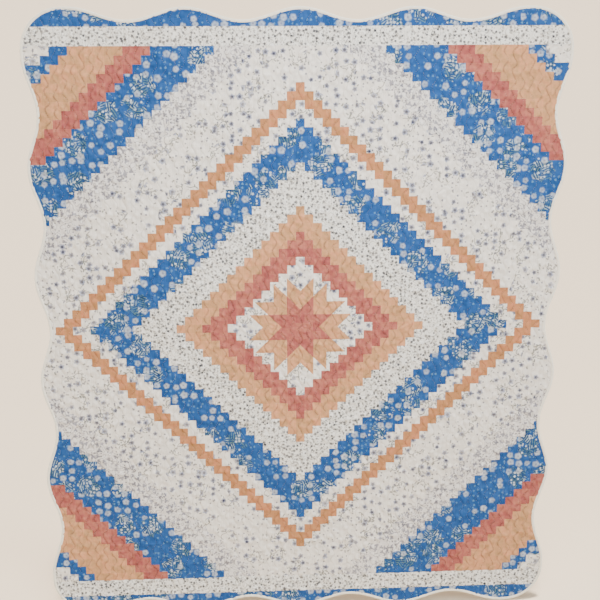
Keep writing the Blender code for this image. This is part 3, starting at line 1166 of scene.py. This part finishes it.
@dataclass
class Star(Layer):
    """The eight-pointed star of diamonds in the middle, and the cloth round it."""

    spacing: float = 5.3 * MM
    seam_gap: float = 0.06 * MM

    def direction(self, eighths: int) -> np.ndarray:
        """A unit step along one of the star's eight axes."""
        turn = math.pi / 4 * eighths
        return np.array([math.cos(turn), math.sin(turn)])

    def corner(self, first: int, first_steps: int, second: int,
               second_steps: int) -> tuple[float, float]:
        """A corner of a diamond, by steps along two axes."""
        point = (self.direction(first) * first_steps
                 + self.direction(second) * second_steps) * self.plan.diamond
        return (float(point[0]), float(point[1]))

    def outline(self) -> Loop:
        """The outline of the whole star, counter-clockwise: two tips at each axis."""
        loop = []
        for axis in range(8):
            loop.append(self.corner(axis, 2, axis - 1, 1))
            loop.append(self.corner(axis, 2, axis, 0))
            loop.append(self.corner(axis, 2, axis + 1, 1))
            loop.append(self.corner(axis, 1, axis + 1, 1))
        return loop

    def field_edge(self) -> Loop:
        """The stepped edge of the cloth round the star, counter-clockwise."""
        reach, patch = self.plan.star_field_ring, self.plan.patch
        quarter = []
        for step in range(reach + 1):
            quarter.append((reach - step + 0.5, step - 0.5))
            quarter.append((reach - step + 0.5, step + 0.5))
        loop: Loop = []
        for turn in range(4):
            for x, z in quarter:
                for _ in range(turn):
                    x, z = -z, x
                loop.append((x * patch, z * patch))
        return [p for p, after in zip(loop, loop[1:] + loop[:1])
                if math.dist(p, after) > 1e-9]

    def filled(self, loops: Sequence[Loop]) -> tuple[FlatShape, np.ndarray]:
        """Fills the first loop, less the others, with small triangles.

        Args:
            loops: the outer edge, then any holes, all counter-clockwise.

        Returns:
            The shape, and which of its points lie on its rim.
        """
        rings, points = [], []
        for number, loop in enumerate(loops):
            side = self.seam_gap if number == 0 else -self.seam_gap
            drawn = inset(np.array(loop), side)
            ring = []
            for here, after in zip(drawn, np.roll(drawn, -1, axis=0)):
                steps = max(1, round(float(np.linalg.norm(after - here)) / self.spacing))
                for step in range(steps):
                    ring.append(here + (after - here) * step / steps)
            rings.append(list(range(len(points), len(points) + len(ring))))
            points.extend(ring)
        rim = np.array(points)
        low, high = rim.min(axis=0), rim.max(axis=0)
        grid = np.stack(np.meshgrid(
            np.arange(round(low[0] / self.spacing), round(high[0] / self.spacing) + 1),
            np.arange(round(low[1] / self.spacing), round(high[1] / self.spacing) + 1),
            indexing="ij"), axis=-1).reshape(-1, 2) * self.spacing
        away = np.sqrt(((grid[:, None] - rim[None]) ** 2).sum(axis=2)).min(axis=1)
        everything = [Vector(p) for p in np.concatenate([rim, grid[away > self.spacing / 2]])]
        made, _, faces, _, _, owners = delaunay_2d_cdt(everything, [], rings, 1, 1e-7)
        kept = [face for face, owner in zip(faces, owners) if list(owner) == [0]]
        used, faces = np.unique(np.array(kept), return_inverse=True)
        flat = FlatShape(np.array([tuple(made[n]) for n in used]), faces.reshape(-1, 3))
        on_rim = np.zeros(len(flat.points), bool)
        on_rim[np.unique(flat.rim())] = True
        return flat, on_rim

    def build(self, top: PiecedTop) -> None:
        """Makes the diamonds, the points and the cloth round them."""
        jobs = []
        for axis in range(8):
            core = [(0.0, 0.0), self.corner(axis, 1, axis, 0),
                    self.corner(axis, 1, axis + 1, 1), self.corner(axis + 1, 1, axis, 0)]
            jobs.append((f"star_diamond_{axis + 1}", [core], Cloth.ROSE))
            pair = [self.corner(axis, 1, axis, 0), self.corner(axis, 1, axis - 1, 1),
                    self.corner(axis, 2, axis - 1, 1), self.corner(axis, 2, axis, 0),
                    self.corner(axis, 2, axis + 1, 1), self.corner(axis, 1, axis + 1, 1)]
            jobs.append((f"star_point_{axis + 1}", [pair], Cloth.PEACH))
        jobs.append(("star_field", [self.field_edge(), self.outline()], Cloth.WHITE))
        for node, loops, cloth in jobs:
            shape, on_rim = self.filled(loops)
            far_inside = np.full(len(shape.points), 1.0)
            top.lay(node, cloth, self.plan.diamond, shape, on_rim,
                    self.relief.face(shape.points, far_inside))


@dataclass
class Wadding(Layer):
    """The soft layer between the top and the backing."""

    near: float = -4.3 * MM
    far: float = -1.2 * MM
    inset: float = 3.0 * MM

    def build(self) -> None:
        """Makes the wadding as one closed pad that follows the slow waves."""
        lattice = Lattice(self.plan, steps=2, strip_steps=4, border_steps=4,
                          hidden=self.inset)
        lattice.numbers = np.where(lattice.inside, 0, -2)
        lattice.set_heights(self.relief.slow)
        shape, _, wave = lattice.shape(0)
        pad = shape.closed_sheet("wadding", wave + self.near, wave + self.far)
        self.wardrobe.dress(pad, Cloth.WADDING, ["batting"])


@dataclass
class Backing(Layer):
    """The plain cloth behind, in two lengths with a seam up the middle."""

    cloth: float = 0.6 * MM
    seam_dip: float = 0.4 * MM

    def build(self) -> None:
        """Makes both lengths."""
        lattice = Lattice(self.plan, steps=4, strip_steps=8, border_steps=7)
        middle = (lattice.across[1:] + lattice.across[:-1]) / 2
        half = np.where(middle < 0, 0, 1)[:, None]
        lattice.numbers = np.where(lattice.inside, half, -2)
        lattice.set_heights(self.relief.back)
        for number, side in enumerate(("left", "right")):
            shape, on_rim, far = lattice.shape(number)
            far = far - self.seam_dip * on_rim
            piece = shape.closed_sheet(f"backing_{side}", far - self.cloth, far)
            self.wardrobe.dress(piece, Cloth.BACKING, ["backing"])
            size = shape.points.max(axis=0) - shape.points.min(axis=0)
            shape.area()


@dataclass
class Binding(Layer):
    """Four lengths of folded binding round the scalloped edge."""

    reach: float = 10.5 * MM        # how far it folds in over the face and the back
    station: float = 6.0 * MM
    ripple: float = 0.35 * MM
    join_gap: float = 0.2 * MM
    hem: float = 2.0 * MM           # from the stitching to the fold's inner edge
    hem_level: float = -7.15 * MM
    cut_width: float = 0.029

    def section(self) -> np.ndarray:
        """The folded strip's section: distance in from the edge, and Y, round the fold."""
        outside = [(self.reach, -6.65), (self.reach * 0.8, -7.25), (self.reach * 0.35, -7.6),
                   (1.6 * MM, -7.35), (0.3 * MM, -6.2), (0.0, -3.6), (0.2 * MM, -1.1),
                   (1.3 * MM, -0.2), (self.reach * 0.4, 0.0), (self.reach, -0.1)]
        inside = [(self.reach, -0.65), (2.0 * MM, -0.8), (1.1 * MM, -1.8),
                  (1.0 * MM, -4.6), (1.5 * MM, -6.2), (self.reach, -6.35)]
        return np.array([(inward, y * MM) for inward, y in outside + inside])

    def stations(self, start: int, end: int) -> tuple[np.ndarray, np.ndarray]:
        """Even steps along the edge: places on it, and the inward directions there."""
        total = len(self.plan.outline)
        inner = inset(self.plan.outline, 1.0 * MM)
        numbers = np.arange(start, end + 1) % total
        edge = self.plan.outline[numbers]
        inward = inner[numbers] - edge
        run = np.concatenate([[0], np.cumsum(np.linalg.norm(np.diff(edge, axis=0), axis=1))])
        count = max(8, round(run[-1] / self.station))
        at = np.linspace(self.join_gap, run[-1] - self.join_gap, count + 1)
        places = np.stack([np.interp(at, run, edge[:, k]) for k in (0, 1)], axis=1)
        ways = np.stack([np.interp(at, run, inward[:, k]) for k in (0, 1)], axis=1)
        return places, ways / np.linalg.norm(ways, axis=1, keepdims=True)

    def sides(self) -> list[tuple[np.ndarray, np.ndarray]]:
        """The stations of the top, left, bottom and right lengths."""
        ends = self.plan.corner_middles + [self.plan.corner_middles[0]
                                           + len(self.plan.outline)]
        return [self.stations(start, end) for start, end in zip(ends[:-1], ends[1:])]

    def build(self) -> None:
        """Sweeps the section along each side."""
        names = ("top", "left", "bottom", "right")
        for number, (side, (places, ways)) in enumerate(zip(names, self.sides())):
            piece = self.swept(f"binding_{side}_cloth", places, ways, number)
            self.wardrobe.dress(piece, Cloth.BINDING, [f"binding_{side}"])

    def swept(self, name: str, places: np.ndarray, ways: np.ndarray,
              seed: int) -> bpy.types.Object:
        """One length of binding, with the small puckers of its stitching.

        Args:
            name: the piece's name.
            places: the stations on the edge.
            ways: the inward direction at each.
            seed: which side it is, so that no two pucker alike.

        Returns:
            The closed piece.
        """
        section = self.section()
        size, rows = len(section), len(places)
        flat = places[:, None, :] + ways[:, None, :] * section[None, :, :1]
        turn = np.arange(rows) * self.station * 2 * math.pi
        pucker = (np.sin(turn / 0.0213 + seed) + 0.7 * np.sin(turn / 0.0173 + 2.1 * seed)
                  + 0.5 * np.sin(turn / 0.047))
        give = np.array([-0.2, -1.0, -1.0, -0.6, -0.3, 0.1, 0.1, 0.3, 0.7, 0.2] + [0.0] * 6)
        deep = section[None, :, 1] + pucker[:, None] * give * self.ripple
        deep = deep + self.relief.wave(flat[..., 0], flat[..., 1])
        number = np.arange(rows * size).reshape(rows, size)
        round_fold = np.concatenate([number, number[:, :1]], axis=1)
        item = build_mesh(name, lifted(flat, deep).reshape(-1, 3), squares(round_fold.T),
                          np.stack([number[0], number[-1, ::-1]]))
        item.data.set_sharp_from_angle(angle=FOLD_ANGLE)
        return item

    def hem_lines(self) -> list[np.ndarray]:
        """The lines along which the binding is stitched down, one for each side."""
        lines = []
        for places, ways in self.sides():
            flat = places + ways * (self.reach - self.hem)
            wave = self.relief.wave(flat[:, 0], flat[:, 1])
            lines.append(lifted(flat, wave + self.hem_level))
        return lines


@dataclass
class Thread(Layer):
    """Stitches: along the lines of quilting and along the binding's inner edge."""

    pitch: float = 8.0 * MM
    length: float = 4.4 * MM
    thickness: float = 0.5 * MM
    hem_pitch: float = 5.0 * MM
    hem_length: float = 3.4 * MM
    clear_of_edge: float = 12.0 * MM
    rise: float = 0.15 * MM
    line_step: float = 6.0 * MM
    sizes: tuple[float, float] = (0.82, 1.12)       # by which stitches differ

    def stitch_tree(self) -> bpy.types.NodeTree:
        """A tree that sets stitches end to end along the lines that it is given."""
        tree = bpy.data.node_groups.new("stitches", "GeometryNodeTree")
        graph = Graph(tree)
        for name, kind in (("Lines", "NodeSocketGeometry"), ("Pitch", "NodeSocketFloat"),
                           ("Length", "NodeSocketFloat"), ("Thickness", "NodeSocketFloat"),
                           ("Seed", "NodeSocketInt"), ("Thread", "NodeSocketMaterial")):
            tree.interface.new_socket(name, in_out="INPUT", socket_type=kind)
        tree.interface.new_socket("Stitches", in_out="OUTPUT",
                                  socket_type="NodeSocketGeometry")
        given = graph.node("NodeGroupInput").outputs
        curve = graph.node("GeometryNodeMeshToCurve", None, {"Mesh": given["Lines"]})
        even = graph.node("GeometryNodeResampleCurve", {"mode": "LENGTH"},
                          {"Curve": curve.outputs[0], "Length": given["Pitch"]})
        bead = graph.node("GeometryNodeMeshUVSphere", None,
                          {"Segments": 4, "Rings": 3, "Radius": 0.5})
        size = graph.node("ShaderNodeCombineXYZ", None, {
            "X": given["Thickness"], "Y": given["Thickness"], "Z": given["Length"]})
        stitch = graph.node("GeometryNodeTransform", None,
                            {"Geometry": bead.outputs[0], "Scale": size.outputs[0]})
        tangent = graph.node("GeometryNodeInputTangent")
        turned = graph.node("FunctionNodeAlignRotationToVector", {"axis": "Z"},
                            {"Vector": tangent.outputs[0]})
        vary = graph.node("FunctionNodeRandomValue", {"data_type": "FLOAT"})
        for key, value in ((2, self.sizes[0]), (3, self.sizes[1]), ("Seed", given["Seed"])):
            graph.feed(vary.inputs[key], value)
        placed = graph.node("GeometryNodeInstanceOnPoints", None, {
            "Points": even.outputs[0], "Instance": stitch.outputs[0],
            "Rotation": turned.outputs[0], "Scale": vary.outputs[1]})
        real = graph.node("GeometryNodeRealizeInstances", None,
                          {"Geometry": placed.outputs[0]})
        dressed = graph.node("GeometryNodeSetMaterial", None,
                             {"Geometry": real.outputs[0], "Material": given["Thread"]})
        graph.node("NodeGroupOutput", None, {0: dressed.outputs[0]})
        return tree

    def sew(self, name: str, lines: list[np.ndarray], pitch: float, length: float,
            seed: int) -> bpy.types.Object:
        """Stitches along lines, as one plain mesh.

        Args:
            name: the piece's name.
            lines: the points of each line.
            pitch: from one stitch to the next.
            length: of one stitch.
            seed: for the small differences between stitches.

        Returns:
            The piece, with no modifier left.
        """
        mesh = bpy.data.meshes.new(name)
        points = np.concatenate(lines)
        starts = np.cumsum([0] + [len(line) for line in lines])
        edges = np.concatenate([np.stack([np.arange(a, b - 1), np.arange(a + 1, b)], axis=1)
                                for a, b in zip(starts[:-1], starts[1:])])
        mesh.from_pydata(points.tolist(), edges.tolist(), [])
        item = bpy.data.objects.new(name, mesh)
        bpy.context.scene.collection.objects.link(item)
        sewing = item.modifiers.new("sewing", "NODES")
        sewing.node_group = self.tree
        sockets = {s.name: s.identifier for s in self.tree.interface.items_tree}
        for key, given in (("Pitch", pitch), ("Length", length),
                           ("Thickness", self.thickness), ("Seed", seed),
                           ("Thread", self.wardrobe.material(Cloth.THREAD))):
            sewing[sockets[key]] = given
        shown = item.evaluated_get(bpy.context.evaluated_depsgraph_get())
        item.data = bpy.data.meshes.new_from_object(shown)
        item.modifiers.clear()
        item.data.shade_smooth()
        return item

    def quilting_lines(self, lattice: "Lattice") -> list[np.ndarray]:
        """The lines of quilting, lying on the face and broken where the edge cuts in."""
        pitch = self.relief.pattern.pitch
        reach = math.floor(self.plan.half_width / pitch)
        up = np.arange(-self.plan.half_height, self.plan.half_height, self.line_step)
        lines = []
        for number in range(-reach, reach + 1):
            straight = np.full(len(up), number * pitch)
            flat = np.stack([self.relief.pattern.swung(straight, up), up], axis=1)
            inside = self.plan.depth_inside(flat) > self.clear_of_edge
            breaks = np.flatnonzero(np.diff(inside.astype(int))) + 1
            for run in np.split(np.arange(len(up)), breaks):
                if inside[run[0]] and len(run) > 3:
                    level = lattice.height_at(flat[run]) - self.rise
                    lines.append(lifted(flat[run], level))
        return lines

    def build(self, lattice: "Lattice", hems: list[np.ndarray]) -> None:
        """Sews the quilting in two halves, and the binding."""
        self.tree = self.stitch_tree()
        lines = self.quilting_lines(lattice)
        halves = {"left": [n for n in lines if n[0, 0] < 0],
                  "right": [n for n in lines if n[0, 0] >= 0]}
        for seed, (side, half) in enumerate(halves.items()):
            piece = self.sew(f"quilting_thread_{side}", half, self.pitch, self.length, seed)
            self.wardrobe.dress(piece, Cloth.THREAD)
        piece = self.sew("binding_thread", hems, self.hem_pitch, self.hem_length, 7)
        self.wardrobe.dress(piece, Cloth.THREAD)


# ---------------------------------------------------------------- studio


class LampKind(Enum):
    """Kinds of light: a distant one, and a soft rectangular one nearby."""

    DISTANT = "SUN"
    PANEL = "AREA"


@dataclass(frozen=True)
class Lamp:
    """One light of the studio. Its size is an angle in degrees where it is distant."""

    name: str
    kind: LampKind
    place: tuple[float, float, float]
    aim: tuple[float, float, float]
    size: float
    power: float
    colour: tuple[float, float, float]


@dataclass
class Studio:
    """The pale floor and backdrop, the soft lights and the camera."""

    wardrobe: Wardrobe
    floor_level: float = -1.171
    floor_reach: float = 1500.0
    backdrop_reach: float = 85.0
    backdrop_height: float = 40.0
    backdrop_sides: int = 96
    backdrop: tuple[float, float, float] = (2.238, 1.790, 1.276)
    aim: tuple[float, float, float] = (-0.001, -0.007, 0.106)
    azimuth: float = -3.2
    elevation: float = 16.0
    roll: float = -0.01
    distance: float = 4.4235
    lens: float = 71.53
    ambient: tuple[float, float, float] = (0.30, 0.28, 0.26)
    lamps: tuple[Lamp, ...] = (
        Lamp("high_light", LampKind.DISTANT, (0.0, -1.0, 4.9), (0.0, 0.0, 0.0), 9.0, 6.9,
             (255, 247, 236)),
        Lamp("side_light", LampKind.DISTANT, (4.5, -1.5, 0.8), (0.0, 0.0, 0.0), 8.0, 2.3,
             (236, 250, 255)),
        Lamp("rear_light", LampKind.DISTANT, (-3.6, 1.8, 1.0), (0.0, 0.0, 0.0), 8.0, 3.2,
             (255, 250, 242)),
        Lamp("upper_panel", LampKind.PANEL, (0.25, -1.7, 1.25), (0.1, 0.0, 0.35), 0.9, 34.0,
             (244, 250, 255)))

    def build(self) -> None:
        """Sets the floor, the backdrop, the lights and the camera."""
        self.lay_floor()
        self.hang_backdrop()
        for lamp in self.lamps:
            self.hang(lamp)
        world = bpy.data.worlds.new("studio")
        world.use_nodes = True
        graph = Graph(world.node_tree)
        glow = graph.node("ShaderNodeBackground", None, {
            "Color": (*self.ambient, 1.0), "Strength": 1.0})
        graph.node("ShaderNodeOutputWorld", None, {"Surface": glow.outputs[0]})
        bpy.context.scene.world = world
        self.place_camera()
        LOG.info("studio: floor, %d lamps and camera", len(self.lamps))

    def hang_backdrop(self) -> None:
        """A plain wall all round, far off, which only the camera sees: no light comes from it."""
        turns = np.linspace(0, 2 * np.pi, self.backdrop_sides, endpoint=False)
        around = np.column_stack([np.cos(turns), np.sin(turns)]) * self.backdrop_reach
        low, high = self.floor_level - 0.1, self.floor_level + self.backdrop_height
        points = np.vstack([np.column_stack([around, np.full(len(turns), level)])
                            for level in (low, high)])
        number = np.arange(len(points)).reshape(2, -1)
        ring = np.concatenate([number, number[:, :1]], axis=1)
        wall = build_mesh("studio_backdrop", points, squares(ring.T))
        made = bpy.data.materials.new("studio_backdrop")
        made.use_nodes = True
        graph = Graph(made.node_tree)
        shader = graph.node("ShaderNodeBsdfPrincipled", None, {
            "Base Color": (0.0, 0.0, 0.0, 1.0), "Roughness": 1.0, "Specular IOR Level": 0.0,
            "Emission Color": (*self.backdrop, 1.0), "Emission Strength": 1.0})
        graph.node("ShaderNodeOutputMaterial", None, {"Surface": shader.outputs[0]})
        wall.data.materials.append(made)
        wall.visible_diffuse = wall.visible_glossy = wall.visible_shadow = False

    def lay_floor(self) -> None:
        """A wide pale floor just under the quilt's lowest lobes."""
        reach, level = self.floor_reach, self.floor_level
        points = np.array([(-reach, -reach, level), (reach, -reach, level),
                           (reach, reach, level), (-reach, reach, level)])
        floor = build_mesh("studio_floor", points, np.array([[0, 1, 2, 3]]))
        floor.data.materials.append(self.wardrobe.material(Cloth.FLOOR))

    def hang(self, lamp: Lamp) -> None:
        """Adds one lamp, aimed at the quilt and not itself in view."""
        light = bpy.data.lights.new(lamp.name, lamp.kind.value)
        if lamp.kind is LampKind.PANEL:
            light.shape, light.size = "SQUARE", lamp.size
        else:
            light.angle = math.radians(lamp.size)
        light.energy = lamp.power
        light.color = linear(lamp.colour)[:3]
        item = bpy.data.objects.new(lamp.name, light)
        item.location = lamp.place
        item.visible_camera = False
        way = Vector(lamp.aim) - Vector(lamp.place)
        item.rotation_euler = way.to_track_quat("-Z", "Y").to_euler()
        bpy.context.scene.collection.objects.link(item)

    def place_camera(self) -> None:
        """Sets the camera a little to the left of the middle and above it."""
        turn, lift, tilt = map(math.radians, (self.azimuth, self.elevation, self.roll))
        away = Vector((math.sin(turn) * math.cos(lift), -math.cos(turn) * math.cos(lift),
                       math.sin(lift)))
        right = (-away).cross(Vector((0, 0, 1))).normalized()
        up = right.cross(-away)
        right, up = (right * math.cos(tilt) + up * math.sin(tilt),
                     up * math.cos(tilt) - right * math.sin(tilt))
        data = bpy.data.cameras.new("camera")
        data.lens, data.sensor_width = self.lens, 36.0
        data.clip_end = 2 * self.floor_reach
        camera = bpy.data.objects.new("camera", data)
        camera.matrix_world = Matrix((
            (*right, 0), (*up, 0), (*away, 0),
            (*(Vector(self.aim) + away * self.distance), 1))).transposed()
        bpy.context.scene.collection.objects.link(camera)
        bpy.context.scene.camera = camera


def main() -> None:
    """Builds the quilt from the back layers to the thread, then the studio round it."""
    logging.basicConfig(level=logging.INFO, format="%(message)s")
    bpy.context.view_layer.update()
    wardrobe = Wardrobe()
    plan = QuiltPlan()
    relief = Relief(plan)
    Backing(plan, relief, wardrobe).build()
    Wadding(plan, relief, wardrobe).build()
    lattice = Lattice(plan)
    lattice.set_heights(relief.face)
    top = PiecedTop(plan, relief, wardrobe)
    top.build(lattice)
    Star(plan, relief, wardrobe).build(top)
    binding = Binding(plan, relief, wardrobe)
    binding.build()
    Thread(plan, relief, wardrobe).build(lattice, binding.hem_lines())
    Studio(wardrobe).build()


if __name__ == "__main__":
    main()
